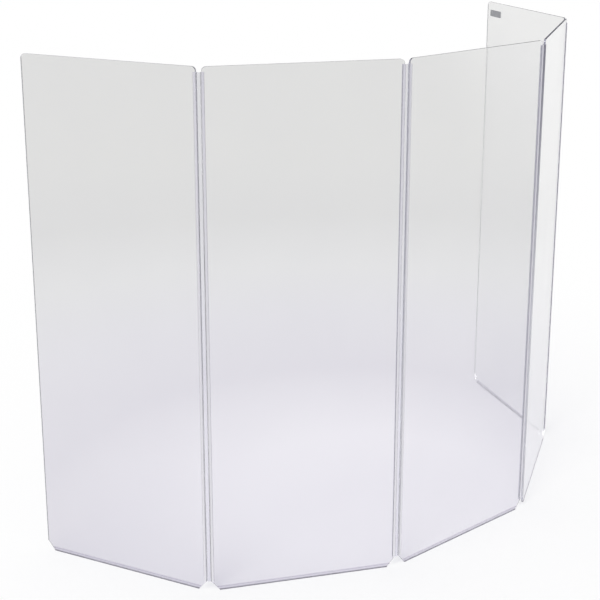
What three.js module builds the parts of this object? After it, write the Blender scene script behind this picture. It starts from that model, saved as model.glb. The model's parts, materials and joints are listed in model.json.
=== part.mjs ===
// Folding drum shield: five clear acrylic panels stand on the floor in an arc
// round a drum kit, joined edge to edge by four full-length clear vinyl hinges.
//
// Millimetres, +Z up. The origin is on the floor under the centre of the middle
// panel, +X runs along that panel to the right as the audience sees it, and the
// drum kit stands on its +Y side.

import * as THREE from 'three';

// Panels: clear sheet, all five alike.
const panelCount = 5;
const panelWidth = 609.6;
const panelHeight = 1676.4;
const panelThickness = 6.35;
const edgeEase = 0.5; // polished arris round every face
const topCornerRadius = 14;

// Cut across both bottom corners of a panel, so that two panels side by side
// leave a notch on the floor for cables.
const cableNotchWidth = 27;
const cableNotchHeight = 33;

// Hinge strip: a stiff channel on each panel's edge, and a thin web between them
// that bends along one line beside each channel.
const channelWall = 1.6;
const channelLegReach = 7.2; // how far the legs reach in over the panel's faces
const channelCornerRadius = 1.2;
const channelLegLead = 0.5; // bevel inside each leg's tip that lets the panel in
const slotClearance = 0.3; // between the panel and the channel it sits in
const webThickness = 1.4;
const flexClearance = 0.3; // between the web's rounded edge and the channel's back
const foldClearance = 0.65; // between two channels that are folded face to face
const hingeTopReveal = 2; // from the end of the panel's rounded corner to the hinge

// Turn at each hinge from one panel to the next, left to right, in degrees.
const hingeBends = [40, 26, 32, 37];

// Smoothness of round stretches.
const cornerSegments = 8;
const webEdgeSegments = 10;

// Sizes that follow from the ones above.
const slotHalf = panelThickness / 2 + slotClearance;
const channelHalf = slotHalf + channelWall;
const channelBack = slotClearance + channelWall; // outward from the panel's edge
const flexReach = panelWidth / 2 + channelBack + flexClearance + webThickness / 2;
const flexSpan = 2 * channelHalf + foldClearance; // lets the panels fold flat together
const hingeFoot = cableNotchHeight;
const hingeTop = panelHeight - topCornerRadius - hingeTopReveal;

const acrylic = new THREE.MeshStandardMaterial({
  color: '#e3e3e7',
  roughness: 0.06,
  metalness: 0,
  transparent: true,
  opacity: 0.3,
});

const stiffVinyl = new THREE.MeshStandardMaterial({
  color: '#b4b4c4',
  roughness: 0.22,
  metalness: 0,
  transparent: true,
  opacity: 0.6,
});

const softVinyl = new THREE.MeshStandardMaterial({
  color: '#d4d3e0',
  roughness: 0.35,
  metalness: 0,
  transparent: true,
  opacity: 0.5,
});

// A panel seen face on, with its foot on the floor.
function panelOutline() {
  const side = panelWidth / 2;
  const roundStart = panelHeight - topCornerRadius;
  const roundCentre = side - topCornerRadius;
  const outline = new THREE.Shape();
  outline.moveTo(cableNotchWidth - side, 0);
  outline.lineTo(side - cableNotchWidth, 0);
  outline.lineTo(side, cableNotchHeight);
  outline.lineTo(side, roundStart);
  outline.absarc(roundCentre, roundStart, topCornerRadius, 0, Math.PI / 2);
  outline.lineTo(-roundCentre, panelHeight);
  outline.absarc(-roundCentre, roundStart, topCornerRadius, Math.PI / 2, Math.PI);
  outline.lineTo(-side, cableNotchHeight);
  outline.closePath();
  return outline;
}

// The sheet is cut out flat with its arrises eased, then stood up so that it is
// centred on its own thickness.
function panelGeometry() {
  const geometry = new THREE.ExtrudeGeometry(panelOutline(), {
    depth: panelThickness - 2 * edgeEase,
    bevelEnabled: true,
    bevelThickness: edgeEase,
    bevelSize: edgeEase,
    bevelOffset: -edgeEase,
    bevelSegments: 1,
    curveSegments: cornerSegments,
  });
  geometry.translate(0, 0, edgeEase - panelThickness / 2);
  geometry.rotateX(Math.PI / 2);
  return geometry;
}

// Section of the channel on a panel's right edge, seen from above. The edge is at
// x = 0, the legs reach back over both faces, and the back's corners are rounded.
function channelSection() {
  const radius = Math.min(channelCornerRadius, channelWall);
  const section = new THREE.Shape();
  section.moveTo(-channelLegReach, -channelHalf);
  section.lineTo(channelBack - radius, -channelHalf);
  section.absarc(channelBack - radius, radius - channelHalf, radius, -Math.PI / 2, 0);
  section.lineTo(channelBack, channelHalf - radius);
  section.absarc(channelBack - radius, channelHalf - radius, radius, 0, Math.PI / 2);
  section.lineTo(-channelLegReach, channelHalf);
  section.lineTo(-channelLegReach, slotHalf + channelLegLead);
  section.lineTo(channelLegLead - channelLegReach, slotHalf);
  section.lineTo(slotClearance, slotHalf);
  section.lineTo(slotClearance, -slotHalf);
  section.lineTo(channelLegLead - channelLegReach, -slotHalf);
  section.lineTo(-channelLegReach, -slotHalf - channelLegLead);
  section.closePath();
  return section;
}

// Section of the web: a strip whose two edges are round about the lines it bends on.
function webSection() {
  const halfSpan = flexSpan / 2;
  const radius = webThickness / 2;
  const section = new THREE.Shape();
  section.absarc(halfSpan, 0, radius, -Math.PI / 2, Math.PI / 2);
  section.lineTo(-halfSpan, radius);
  section.absarc(-halfSpan, 0, radius, Math.PI / 2, (3 * Math.PI) / 2);
  section.closePath();
  return section;
}

// Runs a section up the hinge, from above the cable notch to below the top corner.
function hingeLength(section, curveSegments) {
  const geometry = new THREE.ExtrudeGeometry(section, {
    depth: hingeTop - hingeFoot,
    bevelEnabled: false,
    curveSegments,
  });
  geometry.translate(0, 0, hingeFoot);
  return geometry;
}

function makePanel(number) {
  const panel = new THREE.Mesh(panelGeometry(), acrylic);
  panel.name = `panel_${number}`;
  return panel;
}

// A channel on one edge of a panel: side is 1 for its right edge, -1 for its left.
function makeChannel(name, side) {
  const channel = new THREE.Mesh(hingeLength(channelSection(), cornerSegments), stiffVinyl);
  channel.name = name;
  channel.position.x = (side * panelWidth) / 2;
  channel.rotation.z = side > 0 ? 0 : Math.PI;
  return channel;
}

function makeWeb(hingeNumber) {
  const web = new THREE.Mesh(hingeLength(webSection(), webEdgeSegments), softVinyl);
  web.name = `hinge_${hingeNumber}_web`;
  return web;
}

// Hangs the next panel on one side of a panel that already stands. The hinge turns
// half of its bend at each of the web's two lines.
function joinPanels(standing, next, hingeNumber, side) {
  const halfBend = side * THREE.MathUtils.degToRad(hingeBends[hingeNumber - 1]) / 2;
  const nearFlex = new THREE.Group();
  nearFlex.position.x = side * flexReach;
  nearFlex.rotation.z = halfBend;
  const web = makeWeb(hingeNumber);
  web.position.x = (side * flexSpan) / 2;
  const farFlex = new THREE.Group();
  farFlex.position.x = side * flexSpan;
  farFlex.rotation.z = halfBend;
  next.position.x = side * flexReach;
  farFlex.add(next);
  nearFlex.add(web, farFlex);
  standing.add(nearFlex);
}

// Each panel carries the channels of the hinges on its two edges. Hinge k joins
// panel k to panel k + 1.
function dressPanel(number) {
  const dressed = new THREE.Group();
  dressed.add(makePanel(number));
  if (number < panelCount) {
    dressed.add(makeChannel(`hinge_${number}_left_channel`, 1));
  }
  if (number > 1) {
    dressed.add(makeChannel(`hinge_${number - 1}_right_channel`, -1));
  }
  return dressed;
}

function makeShield() {
  const panels = [];
  for (let number = 1; number <= panelCount; number++) {
    panels.push(dressPanel(number));
  }
  const middle = Math.floor(panelCount / 2);
  for (let i = middle; i < panelCount - 1; i++) {
    joinPanels(panels[i], panels[i + 1], i + 1, 1);
  }
  for (let i = middle; i > 0; i--) {
    joinPanels(panels[i], panels[i - 1], i, -1);
  }
  const shield = new THREE.Group();
  shield.name = 'drum_shield';
  shield.add(panels[middle]);
  return shield;
}

export default makeShield();
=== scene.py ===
# Folding drum shield: five clear acrylic panels stand in an arc on the floor, joined
# edge to edge by four clear vinyl hinge strips. Metres, +Z up. The middle panel stands
# along X, and +Y points into the arc.
import json
import math

import bmesh
import bpy
from mathutils import Matrix, Vector


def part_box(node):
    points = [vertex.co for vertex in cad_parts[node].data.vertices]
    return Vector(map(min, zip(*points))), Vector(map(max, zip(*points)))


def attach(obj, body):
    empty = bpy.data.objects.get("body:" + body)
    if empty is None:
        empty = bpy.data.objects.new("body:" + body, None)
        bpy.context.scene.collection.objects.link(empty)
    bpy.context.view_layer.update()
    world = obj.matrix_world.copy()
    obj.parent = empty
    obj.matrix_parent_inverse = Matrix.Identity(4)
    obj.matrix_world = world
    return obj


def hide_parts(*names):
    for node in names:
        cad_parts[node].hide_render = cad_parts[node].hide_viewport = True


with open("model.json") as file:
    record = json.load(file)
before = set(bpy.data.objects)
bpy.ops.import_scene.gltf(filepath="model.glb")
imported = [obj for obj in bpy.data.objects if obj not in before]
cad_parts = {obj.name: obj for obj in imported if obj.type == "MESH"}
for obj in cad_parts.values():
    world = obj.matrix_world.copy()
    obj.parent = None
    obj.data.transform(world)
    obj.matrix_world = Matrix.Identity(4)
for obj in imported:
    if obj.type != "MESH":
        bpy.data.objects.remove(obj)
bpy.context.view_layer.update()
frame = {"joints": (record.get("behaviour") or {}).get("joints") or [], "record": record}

scene = bpy.context.scene


# Camera: a little over head height, outside the arc and left of its front. It looks
# down on the floor inside the arc, so the near panels' feet come lowest.
photo_side_px = 600
focal_length_px = 1306.9
camera_stand = (-3.05, -2.72, 2.249)
camera_turn = math.radians(40.45)  # to the right of square on to the middle panel
camera_dip = math.radians(15.73)
lens_shift = -0.125  # as a share of the picture's side; it makes upright edges lean less

camera_data = bpy.data.cameras.new("camera")
camera_data.sensor_width = 36
camera_data.lens = camera_data.sensor_width * focal_length_px / photo_side_px
camera_data.shift_y = lens_shift
camera_data.clip_end = 200
camera = bpy.data.objects.new("camera", camera_data)
camera.location = camera_stand
camera.rotation_euler = (math.pi / 2 - camera_dip, 0, -camera_turn)
scene.collection.objects.link(camera)
scene.camera = camera

scene.view_settings.view_transform = "Standard"
# A look in at the edge of a clear sheet crosses the whole sheet, and is thrown back off
# its faces some seventy times on the way.
scene.cycles.max_bounces = 160
scene.cycles.glossy_bounces = 128
scene.cycles.transmission_bounces = 64
scene.cycles.transparent_max_bounces = 32


# Panels: five sheets of clear cast acrylic, sawn to one size, with the top corners
# rounded, the bottom corners cut across for cables, and all edges scraped and
# polished until they are clear.
mm = 0.001
panel_numbers = range(1, 6)
panel_low, panel_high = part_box("panel_3")
panel_width = panel_high.x - panel_low.x
panel_height = panel_high.z - panel_low.z
panel_thickness = panel_high.y - panel_low.y
top_corner_radius = 14 * mm
cable_notch_width = 27 * mm
cable_notch_height = 33 * mm
arris = 0.5 * mm
arris_segments = 3
corner_steps = 14

feet = {m["name"]: Vector(m["pos_m"]) for m in frame["record"]["mounts"]}
flex_lines = {j["name"]: Vector(j["pos_m"]) for j in frame["joints"]}


def linear(code, alpha=1.0):
    """A colour written as sRGB hex, in the linear values that a shader takes."""
    shares = [int(code[i : i + 2], 16) / 255 for i in (1, 3, 5)]
    return [s / 12.92 if s <= 0.04045 else ((s + 0.055) / 1.055) ** 2.4 for s in shares] + [alpha]


def add_node(tree, kind, inputs=None, links=None, **settings):
    """Adds a node with its settings, the values of its inputs and what feeds them."""
    node = tree.nodes.new(kind)
    for name, value in settings.items():
        setattr(node, name, value)
    for socket, value in (inputs or {}).items():
        node.inputs[socket].default_value = value
    for socket, source in (links or {}).items():
        tree.links.new(source, node.inputs[socket])
    return node


def bare_material(name):
    """A material with no shader yet, its node tree, and the place that its patterns follow."""
    material = bpy.data.materials.new(name)
    material.use_nodes = True
    tree = material.node_tree
    tree.nodes.clear()
    return material, tree, add_node(tree, "ShaderNodeTexCoord").outputs["Object"]


def per_metre(size_mm):
    """The scale at which a pattern repeats every size_mm millimetres."""
    return 1 / (size_mm * mm)


def clear_through(tree, glass, lamp_colour, depth_colour, depth_density):
    """Finishes a clear solid: lamps shine through it, and it deepens in colour with depth."""
    clear_way = add_node(tree, "ShaderNodeBsdfTransparent", {"Color": linear(lamp_colour)})
    ray = add_node(tree, "ShaderNodeLightPath").outputs
    lit_way = add_node(
        tree, "ShaderNodeMath", {}, {0: ray["Is Shadow Ray"], 1: ray["Is Diffuse Ray"]},
        operation="MAXIMUM",
    )
    surface = add_node(
        tree, "ShaderNodeMixShader", {},
        {"Fac": lit_way.outputs["Value"], 1: glass.outputs["BSDF"], 2: clear_way.outputs["BSDF"]},
    )
    depth = add_node(
        tree, "ShaderNodeVolumeAbsorption", {"Color": linear(depth_colour), "Density": depth_density}
    )
    add_node(
        tree, "ShaderNodeOutputMaterial", {},
        {"Surface": surface.outputs["Shader"], "Volume": depth.outputs["Volume"]},
    )


def cast_acrylic(name, free_side=0):
    """Clear cast sheet, IOR 1.49, with polished edges. The eye sees through its faces to the
    backdrop, and through its edges down the whole sheet, where they look grey. A sheet with
    a free upright edge, on its left for -1 and on its right for 1, is matt there and painted
    grey as shade."""
    material, tree, place = bare_material(name)
    # Cloth marks: long soft strokes, about 60 by 400 mm, from the last wipe.
    strokes = add_node(
        tree, "ShaderNodeMapping",
        {"Rotation": (0, math.radians(24), 0), "Scale": (per_metre(60), per_metre(60), per_metre(400))},
        {"Vector": place},
    ).outputs["Vector"]
    haze = add_node(
        tree, "ShaderNodeTexNoise", {"Scale": 1, "Detail": 4, "Roughness": 0.6}, {"Vector": strokes}
    )
    roughness = add_node(
        tree, "ShaderNodeMapRange",
        {"From Min": 0.35, "From Max": 0.75, "To Min": 0.01, "To Max": 0.07}, {"Value": haze.outputs["Fac"]},
    )
    # The casting is a hair thicker here and thinner there, over a hand's breadth.
    casting = add_node(tree, "ShaderNodeTexNoise", {"Scale": per_metre(260), "Detail": 2}, {"Vector": place})
    sheet = add_node(
        tree, "ShaderNodeMix", {"A": linear("#fcfcfc"), "B": linear("#f8f8f9")},
        {"Factor": casting.outputs["Fac"]}, data_type="RGBA",
    )
    # The foot is scuffed where it has been dragged over floors. Its underside and lowest 3 mm
    # are painted dark, as shade where it stands on the floor, which the top edges also show as
    # they look down the sheet; a fainter line 11 mm up is a painted reflection of the foot's
    # edge. The edges of these marks wander by up to 0.6 mm.
    across, _, height = add_node(tree, "ShaderNodeSeparateXYZ", {}, {"Vector": place}).outputs
    dragged = add_node(
        tree, "ShaderNodeMapping", {"Scale": (per_metre(40), per_metre(40), per_metre(3))}, {"Vector": place}
    ).outputs["Vector"]
    scuffs = add_node(tree, "ShaderNodeTexNoise", {"Scale": 1, "Detail": 5}, {"Vector": dragged})
    ragged = add_node(
        tree, "ShaderNodeMath", {1: 1.2 * mm, 2: -0.6 * mm}, {0: scuffs.outputs["Fac"]},
        operation="MULTIPLY_ADD",
    )
    wear_and_shade_height = add_node(
        tree, "ShaderNodeMath", {}, {0: height, 1: ragged.outputs["Value"]}, operation="ADD"
    ).outputs["Value"]
    # Tones of the foot going up the sheet, painted shade among them, with 1 at 15 mm.
    foot_tone_share = add_node(
        tree, "ShaderNodeMapRange", {"From Min": 0, "From Max": 15 * mm}, {"Value": wear_and_shade_height}
    )
    foot_wear_and_shade = add_node(tree, "ShaderNodeValToRGB", {}, {"Fac": foot_tone_share.outputs["Result"]})
    foot_wear_and_shade_steps = [
        (0, "#3c3a42"), (0.03, "#a3a0ab"), (0.2, "#b5b2bc"), (0.26, "#f4f3f7"), (0.62, "#f4f3f7"),
        (0.68, "#d3d0da"), (0.82, "#d3d0da"), (0.9, "#ffffff"),
    ]
    for step, (at, code) in enumerate(foot_wear_and_shade_steps):
        stop = foot_wear_and_shade.color_ramp.elements[step] if step < 2 else foot_wear_and_shade.color_ramp.elements.new(at)
        stop.position = at
        stop.color = linear(code)
    body = add_node(
        tree, "ShaderNodeMix", {"Factor": 1},
        {"A": sheet.outputs["Result"], "B": foot_wear_and_shade.outputs["Color"]}, data_type="RGBA", blend_type="MULTIPLY",
    )
    scuffed = add_node(
        tree, "ShaderNodeMapRange", {"From Min": 13 * mm, "From Max": 11 * mm}, {"Value": wear_and_shade_height}
    )
    scuffed_roughness = add_node(
        tree, "ShaderNodeMix", {"B": 0.3},
        {"Factor": scuffed.outputs["Result"], "A": roughness.outputs["Result"]}, data_type="FLOAT",
    )
    grimy = add_node(
        tree, "ShaderNodeMapRange", {"From Min": 3.8 * mm, "From Max": 3.2 * mm}, {"Value": wear_and_shade_height}
    )
    worn_roughness = add_node(
        tree, "ShaderNodeMix", {"B": 0.9},
        {"Factor": grimy.outputs["Result"], "A": scuffed_roughness.outputs["Result"]}, data_type="FLOAT",
    )
    # No channel covers a free upright edge. Hands and other panels have rubbed it matt, and
    # it is painted grey as shade, so it shows through the sheet as a grey line.
    if free_side:
        rubbed = add_node(
            tree, "ShaderNodeMapRange",
            {
                "From Min": free_side * (panel_width / 2 - 2 * arris),
                "From Max": free_side * (panel_width / 2 - arris),
            },
            {"Value": across},
        ).outputs["Result"]
        body = add_node(
            tree, "ShaderNodeMix", {"B": linear("#a2a2a8")},
            {"Factor": rubbed, "A": body.outputs["Result"]}, data_type="RGBA",
        )
        worn_roughness = add_node(
            tree, "ShaderNodeMix", {"B": 0.9},
            {"Factor": rubbed, "A": worn_roughness.outputs["Result"]}, data_type="FLOAT",
        )
    glass = add_node(
        tree, "ShaderNodeBsdfPrincipled", {"IOR": 1.49, "Transmission Weight": 1},
        {"Base Color": body.outputs["Result"], "Roughness": worn_roughness.outputs["Result"]},
    )
    clear_through(tree, glass, lamp_colour="#f9f9fb", depth_colour="#aaadcb", depth_density=0.4)
    return material


def panel_outline():
    """The panel's outline in its own plane, anticlockwise from the left of its foot."""
    side = panel_width / 2
    outline = [
        (cable_notch_width - side, 0),
        (side - cable_notch_width, 0),
        (side, cable_notch_height),
    ]
    for centre_x, start in ((side - top_corner_radius, 0), (top_corner_radius - side, math.pi / 2)):
        for step in range(corner_steps + 1):
            turn = start + step / corner_steps * math.pi / 2
            outline.append((
                centre_x + top_corner_radius * math.cos(turn),
                panel_height - top_corner_radius + top_corner_radius * math.sin(turn),
            ))
    outline.append((-side, cable_notch_height))
    return outline


def panel_mesh():
    """A sheet of the outline, stood up and centred on its thickness, with round arrises."""
    form = bmesh.new()
    outline = panel_outline()
    faces = []
    for y in (-panel_thickness / 2, panel_thickness / 2):
        faces.append([form.verts.new((x, y, z)) for x, z in outline])
    front, back = faces
    rim = [form.faces.new(front).edges, form.faces.new(back[::-1]).edges]
    for i in range(len(outline)):
        j = (i + 1) % len(outline)
        form.faces.new((front[j], front[i], back[i], back[j]))
    bmesh.ops.bevel(
        form, geom=[e for edges in rim for e in edges], offset=arris, segments=arris_segments,
        profile=0.5, affect="EDGES",
    )
    bmesh.ops.recalc_face_normals(form, faces=form.faces)
    longest_step = top_corner_radius * math.pi / corner_steps
    for face in form.faces:
        face_on = abs(face.normal.y) > 0.999
        longest_edge = max(edge.calc_length() for edge in face.edges)
        sawn_straight = abs(face.normal.y) < 0.001 and longest_edge > longest_step
        face.smooth = not face_on and not sawn_straight
    mesh = bpy.data.meshes.new("acrylic_panel")
    form.to_mesh(mesh)
    form.free()
    return mesh


def panel_stand(number):
    """Where a panel stands: the middle of its foot, with +X from its left edge to its right."""
    foot = feet[f"foot_{number}"]
    if number < len(panel_numbers):
        along = flex_lines[f"hinge_{number}_left_flex"] - foot
    else:
        along = foot - flex_lines[f"hinge_{number - 1}_right_flex"]
    return Matrix.Translation(foot) @ Matrix.Rotation(math.atan2(along.y, along.x), 4, "Z")


plain_acrylic = cast_acrylic("cast_acrylic")
end_acrylic = {
    panel_numbers[0]: cast_acrylic("cast_acrylic_left_end", free_side=-1),
    panel_numbers[-1]: cast_acrylic("cast_acrylic_right_end", free_side=1),
}
for number in panel_numbers:
    panel = bpy.data.objects.new(f"acrylic_panel_{number}", panel_mesh())
    scene.collection.objects.link(panel)
    panel.data.materials.append(end_acrylic.get(number, plain_acrylic))
    panel.matrix_world = panel_stand(number)
    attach(panel, f"panel_{number}")
    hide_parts(f"panel_{number}")


# Hinge channels: the two stiff sides of each hinge strip, extruded from milky vinyl. Each
# is pushed onto a panel's edge and holds it by the grip of its legs, whose tips are round.
channel_wall = 1.6 * mm
channel_leg_reach = 7.2 * mm
channel_corner_radius = 1.2 * mm
channel_leg_lead = 0.5 * mm
channel_tip_ease = 0.8 * mm
channel_tip_shade_reach = 1.2 * mm  # from a leg's tip along its outside
slot_clearance = 0.3 * mm
saw_mark_reach = 0.2 * mm
fillet_steps = 6
hinge_numbers = range(1, len(panel_numbers))
hinge_low, hinge_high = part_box("hinge_2_web")
# One channel is painted grey from its top down to the height below, as shade.
shaded_channel = (3, "right")
shade_reaches_down_to = 0.75  # metres up; the vinyl is clean below it


def sawn_ends(tree, height, roughness):
    """The roughness of a strip's skin, and a matt 0.5 where a saw cut it to length."""
    middle = (hinge_low.z + hinge_high.z) / 2
    between_cuts = add_node(
        tree, "ShaderNodeMath", {1: middle, 2: hinge_high.z - middle - saw_mark_reach}, {0: height},
        operation="COMPARE",
    )
    return add_node(
        tree, "ShaderNodeMix", {"A": 0.5},
        {"Factor": between_cuts.outputs["Value"], "B": roughness}, data_type="FLOAT",
    ).outputs["Result"]


def rigid_vinyl(name, top_tones, untoned_below):
    """Extruded vinyl, IOR 1.54, about half milky. It keeps the die's fine lines along its
    length, so it shines in streaks, and it looks pale violet-grey beside the sheet. Its top
    has the top tones, which fade to white by the height given; its legs' tips have painted shade."""
    material, tree, place = bare_material(name)
    out_from_edge, _, height = add_node(tree, "ShaderNodeSeparateXYZ", {}, {"Vector": place}).outputs
    # Die lines are some 0.1 mm apart; they are drawn 0.9 mm apart to show at all.
    along = add_node(
        tree, "ShaderNodeMapping", {"Scale": (per_metre(0.9), per_metre(0.9), per_metre(700))},
        {"Vector": place},
    ).outputs["Vector"]
    lines = add_node(tree, "ShaderNodeTexNoise", {"Scale": 1, "Detail": 3}, {"Vector": along})
    roughness = add_node(
        tree, "ShaderNodeMapRange",
        {"From Min": 0.3, "From Max": 0.7, "To Min": 0.1, "To Max": 0.24}, {"Value": lines.outputs["Fac"]},
    )
    body = add_node(
        tree, "ShaderNodeMix", {"A": linear(top_tones[0]), "B": linear(top_tones[1])},
        {"Factor": lines.outputs["Fac"]}, data_type="RGBA",
    )
    # It is darker towards its top, and white below the height given.
    untoned = add_node(
        tree, "ShaderNodeMapRange", {"From Min": hinge_high.z, "From Max": untoned_below}, {"Value": height}
    )
    toned_top = add_node(
        tree, "ShaderNodeMix", {"B": linear("#ffffff")},
        {"Factor": untoned.outputs["Result"], "A": body.outputs["Result"]}, data_type="RGBA",
    )
    # Painted shade along the tips of the legs, where they end on the sheet.
    tip_shade_share = add_node(
        tree, "ShaderNodeMapRange",
        {
            "From Min": channel_tip_shade_reach - channel_leg_reach,
            "From Max": channel_tip_shade_reach / 2 - channel_leg_reach,
        },
        {"Value": out_from_edge},
    )
    tip_shaded = add_node(
        tree, "ShaderNodeMix", {"B": linear("#adacb6")},
        {"Factor": tip_shade_share.outputs["Result"], "A": toned_top.outputs["Result"]}, data_type="RGBA",
    )
    drawn = add_node(
        tree, "ShaderNodeBump", {"Strength": 0.2, "Distance": 0.02 * mm}, {"Height": lines.outputs["Fac"]}
    )
    glass = add_node(
        tree, "ShaderNodeBsdfPrincipled", {"IOR": 1.54, "Transmission Weight": 0.45},
        {
            "Base Color": tip_shaded.outputs["Result"],
            "Roughness": sawn_ends(tree, height, roughness.outputs["Result"]),
            "Normal": drawn.outputs["Normal"],
        },
    )
    clear_through(tree, glass, lamp_colour="#e4e4ec", depth_colour="#a2a4bc", depth_density=8)
    return material


def arc(centre, radius, start, turn, steps=fillet_steps):
    """Points round a fillet, start and turn in quarter turns."""
    angles = [math.pi / 2 * (start + turn * i / steps) for i in range(steps + 1)]
    return [(centre[0] + radius * math.cos(a), centre[1] + radius * math.sin(a)) for a in angles]


def channel_section():
    """Section of a channel on a panel's right edge. The edge is at x = 0, the legs reach
    back over both faces, and the back's corners are round."""
    slot_half = panel_thickness / 2 + slot_clearance
    outer_half = slot_half + channel_wall
    back = slot_clearance + channel_wall
    tip = -channel_leg_reach
    tip_centre = (tip + channel_tip_ease, channel_tip_ease - outer_half)
    corner_centre = (back - channel_corner_radius, channel_corner_radius - outer_half)
    near_side = [
        *arc(tip_centre, channel_tip_ease, 2, 1),
        *arc(corner_centre, channel_corner_radius, 3, 1),
    ]
    slot_side = [
        (tip, slot_half + channel_leg_lead),
        (tip + channel_leg_lead, slot_half),
        (slot_clearance, slot_half),
    ]
    far_side = [(x, -y) for x, y in reversed(near_side)]
    return [*near_side, *far_side, *slot_side, *[(x, -y) for x, y in reversed(slot_side)]]


def extruded(name, section):
    """The section run up the hinge's length. Straight stretches of it stay flat."""
    form = bmesh.new()
    ends = []
    for z in (hinge_low.z, hinge_high.z):
        ends.append([form.verts.new((x, y, z)) for x, y in section])
    bottom, top = ends
    form.faces.new(bottom[::-1])
    form.faces.new(top)
    widest_in_fillet = 0.45 * mm  # a side narrower than this is part of a fillet
    for i in range(len(section)):
        j = (i + 1) % len(section)
        side = form.faces.new((bottom[i], bottom[j], top[j], top[i]))
        side.smooth = (bottom[i].co - bottom[j].co).length < widest_in_fillet
    bmesh.ops.recalc_face_normals(form, faces=form.faces)
    mesh = bpy.data.meshes.new(name)
    form.to_mesh(mesh)
    form.free()
    return mesh


# One channel is painted greyer than the rest from its top down, as shade.
stiff_vinyl = rigid_vinyl("rigid_vinyl", ("#f1f0f5", "#e6e5ec"), hinge_low.z)
shaded_vinyl = rigid_vinyl("rigid_vinyl_shaded", ("#aeadb6", "#a2a1ab"), shade_reaches_down_to)
for number in hinge_numbers:
    for side, panel_number in (("left", number), ("right", number + 1)):
        channel = bpy.data.objects.new(
            f"vinyl_hinge_{number}_{side}_channel", extruded("vinyl_channel", channel_section())
        )
        scene.collection.objects.link(channel)
        shaded_one = (number, side) == shaded_channel
        channel.data.materials.append(shaded_vinyl if shaded_one else stiff_vinyl)
        edge = panel_width / 2 if side == "left" else -panel_width / 2
        faces_out = Matrix.Rotation(0 if side == "left" else math.pi, 4, "Z")
        channel.matrix_world = panel_stand(panel_number) @ Matrix.Translation((edge, 0, 0)) @ faces_out
        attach(channel, f"panel_{panel_number}")
        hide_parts(f"hinge_{number}_{side}_channel")


# Hinge webs: the soft middle of each strip, extruded in one with the channels from a
# softer, clear vinyl. It bends along a line beside each channel, and is thinned and round
# there.
web_thickness = 1.4 * mm
bending_line_thickness = 0.8 * mm
thinned_over = 1.8 * mm


def soft_vinyl():
    """Clear plasticised vinyl, IOR 1.53. It is glossy and paler than the stiff sides."""
    material, tree, place = bare_material("soft_vinyl")
    height = add_node(tree, "ShaderNodeSeparateXYZ", {}, {"Vector": place}).outputs["Z"]
    # The web draws slightly wavy as it cools, with waves some 90 mm long.
    waves = add_node(
        tree, "ShaderNodeMapping", {"Scale": (per_metre(5), per_metre(5), per_metre(90))}, {"Vector": place}
    ).outputs["Vector"]
    draw = add_node(tree, "ShaderNodeTexNoise", {"Scale": 1, "Detail": 2}, {"Vector": waves})
    roughness = add_node(
        tree, "ShaderNodeMapRange",
        {"From Min": 0.3, "From Max": 0.7, "To Min": 0.05, "To Max": 0.14}, {"Value": draw.outputs["Fac"]},
    )
    body = add_node(
        tree, "ShaderNodeMix", {"A": linear("#fbfbfd"), "B": linear("#f2f2f7")},
        {"Factor": draw.outputs["Fac"]}, data_type="RGBA",
    )
    wavy = add_node(
        tree, "ShaderNodeBump", {"Strength": 0.25, "Distance": 0.05 * mm}, {"Height": draw.outputs["Fac"]}
    )
    glass = add_node(
        tree, "ShaderNodeBsdfPrincipled", {"IOR": 1.53, "Transmission Weight": 0.92},
        {
            "Base Color": body.outputs["Result"],
            "Roughness": sawn_ends(tree, height, roughness.outputs["Result"]),
            "Normal": wavy.outputs["Normal"],
        },
    )
    clear_through(tree, glass, lamp_colour="#eeeef4", depth_colour="#aaaacb", depth_density=5)
    return material


def web_section(span):
    """Section of the web: a strip thinned towards the two lines that it bends on, with round
    edges about them."""
    half_span = span / 2
    near_side = [(half_span - thinned_over, -web_thickness / 2)]
    near_side += arc((half_span, 0), bending_line_thickness / 2, -1, 2, 2 * fillet_steps)
    near_side += [(half_span - thinned_over, web_thickness / 2)]
    return [*near_side, *[(-x, -y) for x, y in near_side]]


web_vinyl = soft_vinyl()
for number in hinge_numbers:
    left_line = flex_lines[f"hinge_{number}_left_flex"]
    right_line = flex_lines[f"hinge_{number}_right_flex"]
    across = right_line - left_line
    web = bpy.data.objects.new(
        f"vinyl_hinge_{number}_web", extruded("vinyl_web", web_section(across.length))
    )
    scene.collection.objects.link(web)
    web.data.materials.append(web_vinyl)
    faces_on = Matrix.Rotation(math.atan2(across.y, across.x), 4, "Z")
    web.matrix_world = Matrix.Translation((left_line + right_line) / 2) @ faces_on
    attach(web, f"web_{number}")
    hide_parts(f"hinge_{number}_web")


# Hinge beads: along each line that the web bends on, a thin bead of the same soft vinyl
# fuses it to the channel's back. The web's round edge turns against the bead as it bends,
# and the web's thinned side lies flat on it once the hinge is folded.
bead_half_thickness = 0.35 * mm
bead_root_radius = 0.2 * mm
bead_play = 0.01 * mm
line_to_channel = 1.0 * mm  # from the line that the web bends on to the channel's back


def bead_section():
    """Section of a bead about the bending line at (0, 0), with the channel's back on its
    right, which it meets in two hollow fillets. Its front comes to a blunt point, whose
    slopes are those of the web's thinned sides."""
    front = bending_line_thickness / 2 + bead_play
    slope = (web_thickness - bending_line_thickness) / 2 / thinned_over
    root = line_to_channel - bead_play
    fillet_centre = (root - bead_root_radius, bead_half_thickness + bead_root_radius)
    upper = arc(fillet_centre, bead_root_radius, 0, -1)
    upper += [(front + slope * bead_half_thickness, bead_half_thickness)]
    return [*upper, (front, 0), *[(x, -y) for x, y in reversed(upper)]]


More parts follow.
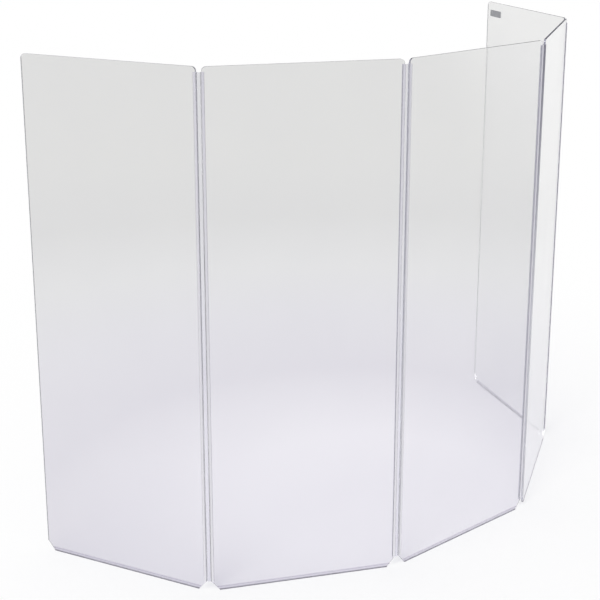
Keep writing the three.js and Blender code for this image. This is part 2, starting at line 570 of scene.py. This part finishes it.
for number in hinge_numbers:
    for side, panel_number in (("left", number), ("right", number + 1)):
        bead = bpy.data.objects.new(
            f"vinyl_hinge_{number}_{side}_bead", extruded("vinyl_bead", bead_section())
        )
        scene.collection.objects.link(bead)
        bead.data.materials.append(web_vinyl)
        along = panel_stand(panel_number).to_euler().z
        faces_web = Matrix.Rotation(along + (math.pi if side == "left" else 0), 4, "Z")
        bead.matrix_world = Matrix.Translation(flex_lines[f"hinge_{number}_{side}_flex"]) @ faces_web
        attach(bead, f"panel_{panel_number}")


# Label: a blank silver-grey polyester sticker on the inner side of the last panel, in the
# top corner beside its free edge. It stands off the sheet by the thickness of its glue.
label_width = 90 * mm
label_height = 26 * mm
label_thickness = 0.12 * mm
label_glue = 0.02 * mm
label_corner_radius = 4 * mm
label_from_edge = 70 * mm
label_from_top = 44 * mm


def silver_polyester():
    """Matt metallised film. It looks mid-grey, brushed very finely along its length, and a
    little worn to a paler grey."""
    material, tree, place = bare_material("silver_polyester")
    # The brushing is some 0.05 mm apart; it is drawn 0.6 mm apart to show at all.
    brushed = add_node(
        tree, "ShaderNodeMapping", {"Scale": (per_metre(25), 1, per_metre(0.6))}, {"Vector": place}
    ).outputs["Vector"]
    lines = add_node(tree, "ShaderNodeTexNoise", {"Scale": 1, "Detail": 3}, {"Vector": brushed})
    rubbed = add_node(tree, "ShaderNodeTexNoise", {"Scale": per_metre(18), "Detail": 4}, {"Vector": place})
    film = add_node(
        tree, "ShaderNodeMix", {"A": linear("#8d8e92"), "B": linear("#a2a3a7")},
        {"Factor": lines.outputs["Fac"]}, data_type="RGBA",
    )
    worn = add_node(
        tree, "ShaderNodeMapRange", {"From Min": 0.55, "From Max": 0.75, "To Max": 0.6},
        {"Value": rubbed.outputs["Fac"]},
    )
    colour = add_node(
        tree, "ShaderNodeMix", {"B": linear("#b4b5b9")},
        {"Factor": worn.outputs["Result"], "A": film.outputs["Result"]}, data_type="RGBA",
    )
    roughness = add_node(
        tree, "ShaderNodeMapRange", {"To Min": 0.35, "To Max": 0.55}, {"Value": lines.outputs["Fac"]}
    )
    sheen = add_node(
        tree, "ShaderNodeBump", {"Strength": 0.3, "Distance": 0.01 * mm}, {"Height": lines.outputs["Fac"]}
    )
    film_skin = add_node(
        tree, "ShaderNodeBsdfPrincipled", {"Metallic": 0.3},
        {
            "Base Color": colour.outputs["Result"],
            "Roughness": roughness.outputs["Result"],
            "Normal": sheen.outputs["Normal"],
        },
    )
    add_node(tree, "ShaderNodeOutputMaterial", {}, {"Surface": film_skin.outputs["BSDF"]})
    return material


def label_mesh():
    """A thin film with round corners, stuck to a face at y = 0."""
    form = bmesh.new()
    outline = []
    half_width = label_width / 2 - label_corner_radius
    half_height = label_height / 2 - label_corner_radius
    for quarter, (x, z) in enumerate(((1, 1), (-1, 1), (-1, -1), (1, -1))):
        outline += arc((x * half_width, z * half_height), label_corner_radius, quarter, 1)
    stuck = [form.verts.new((x, 0, z)) for x, z in outline]
    seen = [form.verts.new((x, label_thickness, z)) for x, z in outline]
    form.faces.new(stuck)
    form.faces.new(seen[::-1])
    for i in range(len(outline)):
        j = (i + 1) % len(outline)
        form.faces.new((stuck[j], stuck[i], seen[i], seen[j]))
    bmesh.ops.recalc_face_normals(form, faces=form.faces)
    mesh = bpy.data.meshes.new("polyester_label")
    form.to_mesh(mesh)
    form.free()
    return mesh


label = bpy.data.objects.new("polyester_label", label_mesh())
scene.collection.objects.link(label)
label.data.materials.append(silver_polyester())
label.matrix_world = panel_stand(5) @ Matrix.Translation((
    panel_width / 2 - label_from_edge, panel_thickness / 2 + label_glue, panel_height - label_from_top,
))
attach(label, "panel_5")


# Studio: a pale paper floor that runs on with no wall in sight, under a white sky and one
# large soft lamp. The eye gets it as pure white, and through the clear pieces as a pale
# grey with a little violet round the shield's foot, with painted light and shade in it.
floor_radius = 80
shield_middle = (0, 0.45, 0)
rightward = (0.76, -0.65, 0)  # level, and to the right as the camera looks
lamp_tilt = math.radians(35)
lamp_heading = math.radians(-60)
lamp_width = math.radians(25)
lamp_light = 0.9
sky_light = 1 - lamp_light * math.cos(lamp_tilt) / math.pi  # so that both give the floor 1
white = linear("#ffffff")
paper_white = linear("#e7e7e7")

floor_material, floor_tree, floor_place = bare_material("studio_paper")
from_shield = add_node(
    floor_tree, "ShaderNodeVectorMath", {1: shield_middle}, {0: floor_place}, operation="DISTANCE"
)
# Tones of the paper going out from the shield's middle, with 1 at 8 m: painted light near
# the shield's foot and painted shade about 1.2 m out.
near_share = add_node(
    floor_tree, "ShaderNodeMapRange", {"From Min": 0, "From Max": 8},
    {"Value": from_shield.outputs["Value"]},
)
paper_light_and_shade_tones = [
    (0.06, "#f7f5fa"), (0.15, "#e4e2e9"), (0.24, "#e6e5ea"), (0.34, "#e7e7e8"), (0.48, "#e0e0e0"),
]
near_paper_light_and_shade = add_node(floor_tree, "ShaderNodeValToRGB", {}, {"Fac": near_share.outputs["Result"]})
for tone, (at, code) in enumerate(paper_light_and_shade_tones):
    stop = near_paper_light_and_shade.color_ramp.elements[tone] if tone < 2 else near_paper_light_and_shade.color_ramp.elements.new(at)
    stop.position = at
    stop.color = linear(code)
far_share = add_node(
    floor_tree, "ShaderNodeMapRange", {"From Min": 3.6, "From Max": 6},
    {"Value": from_shield.outputs["Value"]}, interpolation_type="SMOOTHSTEP",
)
# The paper lies in more light on the right, beyond the last two panels.
floor_rightward = add_node(
    floor_tree, "ShaderNodeVectorMath", {1: rightward}, {0: floor_place}, operation="DOT_PRODUCT"
)
light_side = add_node(
    floor_tree, "ShaderNodeMapRange", {"From Min": 0.6, "From Max": 2.6},
    {"Value": floor_rightward.outputs["Value"]}, interpolation_type="SMOOTHSTEP",
)
far_paper = add_node(
    floor_tree, "ShaderNodeMix", {"A": linear("#e2e2e1"), "B": linear("#f0f0ef")},
    {"Factor": light_side.outputs["Result"]}, data_type="RGBA",
)
paper = add_node(
    floor_tree, "ShaderNodeMix", {},
    {
        "Factor": far_share.outputs["Result"],
        "A": near_paper_light_and_shade.outputs["Color"],
        "B": far_paper.outputs["Result"],
    },
    data_type="RGBA",
)
paper_seen_through = add_node(floor_tree, "ShaderNodeBsdfDiffuse", {}, {"Color": paper.outputs["Result"]})
# Seen straight on or mirrored, the paper is lifted to white where no shadow falls on it.
white_paper = add_node(floor_tree, "ShaderNodeBsdfDiffuse", {"Color": paper_white})
white_lift = add_node(floor_tree, "ShaderNodeEmission", {"Color": white, "Strength": 1 - paper_white[0]})
paper_seen = add_node(
    floor_tree, "ShaderNodeAddShader", {},
    {0: white_paper.outputs["BSDF"], 1: white_lift.outputs["Emission"]},
)
floor_ray = add_node(floor_tree, "ShaderNodeLightPath").outputs
mirrored = add_node(
    floor_tree, "ShaderNodeMath", {}, {0: floor_ray["Is Glossy Ray"], 1: floor_ray["Is Transmission Ray"]},
    operation="SUBTRACT", use_clamp=True,
)
seen_white = add_node(
    floor_tree, "ShaderNodeMath", {}, {0: floor_ray["Is Camera Ray"], 1: mirrored.outputs["Value"]},
    operation="MAXIMUM",
)
floor_surface = add_node(
    floor_tree, "ShaderNodeMixShader", {},
    {
        "Fac": seen_white.outputs["Value"],
        1: paper_seen_through.outputs["BSDF"],
        2: paper_seen.outputs["Shader"],
    },
)
add_node(floor_tree, "ShaderNodeOutputMaterial", {}, {"Surface": floor_surface.outputs["Shader"]})

floor_form = bmesh.new()
bmesh.ops.create_circle(floor_form, cap_ends=True, segments=96, radius=floor_radius)
floor_mesh = bpy.data.meshes.new("studio_floor")
floor_form.to_mesh(floor_mesh)
floor_form.free()
floor_mesh.materials.append(floor_material)
floor = bpy.data.objects.new("studio_floor", floor_mesh)
scene.collection.objects.link(floor)

world = bpy.data.worlds.new("studio_sky")
world.use_nodes = True
sky = world.node_tree
sky.nodes.clear()
sky_way = add_node(sky, "ShaderNodeTexCoord").outputs["Generated"]
sky_height = add_node(sky, "ShaderNodeSeparateXYZ", {}, {"Vector": sky_way}).outputs["Z"]
overhead = add_node(
    sky, "ShaderNodeMapRange", {"From Min": 0.3, "From Max": 1}, {"Value": sky_height},
    interpolation_type="SMOOTHSTEP",
)
sky_seen_through = add_node(
    sky, "ShaderNodeMix", {"A": linear("#e3e3e2"), "B": linear("#c8c8ca")},
    {"Factor": overhead.outputs["Result"]}, data_type="RGBA",
)
sky_ray = add_node(sky, "ShaderNodeLightPath").outputs
# Only level top edges mirror the sky well above the horizon. The studio is dimmer up there,
# and dark towards the right.
sky_rightward = add_node(
    sky, "ShaderNodeVectorMath", {1: rightward}, {0: sky_way}, operation="DOT_PRODUCT"
)
dark_side = add_node(
    sky, "ShaderNodeMapRange", {"From Min": 0.10, "From Max": 0.17},
    {"Value": sky_rightward.outputs["Value"]},
)
dark_above = add_node(
    sky, "ShaderNodeMix", {"A": linear("#d8d8da"), "B": linear("#202024")},
    {"Factor": dark_side.outputs["Result"]}, data_type="RGBA",
)
dim = add_node(
    sky, "ShaderNodeMapRange", {"From Min": 0.05, "From Max": 0.13}, {"Value": sky_height},
    interpolation_type="SMOOTHSTEP",
)
sky_mirrored = add_node(
    sky, "ShaderNodeMix", {"A": white},
    {"Factor": dim.outputs["Result"], "B": dark_above.outputs["Result"]}, data_type="RGBA",
)
sky_in_clear = add_node(
    sky, "ShaderNodeMix", {},
    {
        "Factor": sky_ray["Is Transmission Ray"],
        "A": sky_mirrored.outputs["Result"],
        "B": sky_seen_through.outputs["Result"],
    },
    data_type="RGBA",
)
sky_colour = add_node(
    sky, "ShaderNodeMix", {"B": white},
    {"Factor": sky_ray["Is Camera Ray"], "A": sky_in_clear.outputs["Result"]}, data_type="RGBA",
)
backdrop = add_node(sky, "ShaderNodeBackground", {"Strength": 1}, {"Color": sky_colour.outputs["Result"]})
sky_lamp = add_node(sky, "ShaderNodeBackground", {"Color": white, "Strength": sky_light})
sky_in_view = add_node(
    sky, "ShaderNodeMath", {}, {0: sky_ray["Is Camera Ray"], 1: sky_ray["Is Glossy Ray"]},
    operation="MAXIMUM",
)
sky_surface = add_node(
    sky, "ShaderNodeMixShader", {},
    {
        "Fac": sky_in_view.outputs["Value"],
        1: sky_lamp.outputs["Background"],
        2: backdrop.outputs["Background"],
    },
)
add_node(sky, "ShaderNodeOutputWorld", {}, {"Surface": sky_surface.outputs["Shader"]})
scene.world = world

lamp_data = bpy.data.lights.new("soft_lamp", "SUN")
lamp_data.energy = lamp_light
lamp_data.angle = lamp_width
lamp = bpy.data.objects.new("soft_lamp", lamp_data)
lamp.rotation_euler = (lamp_tilt, 0, lamp_heading)
scene.collection.objects.link(lamp)
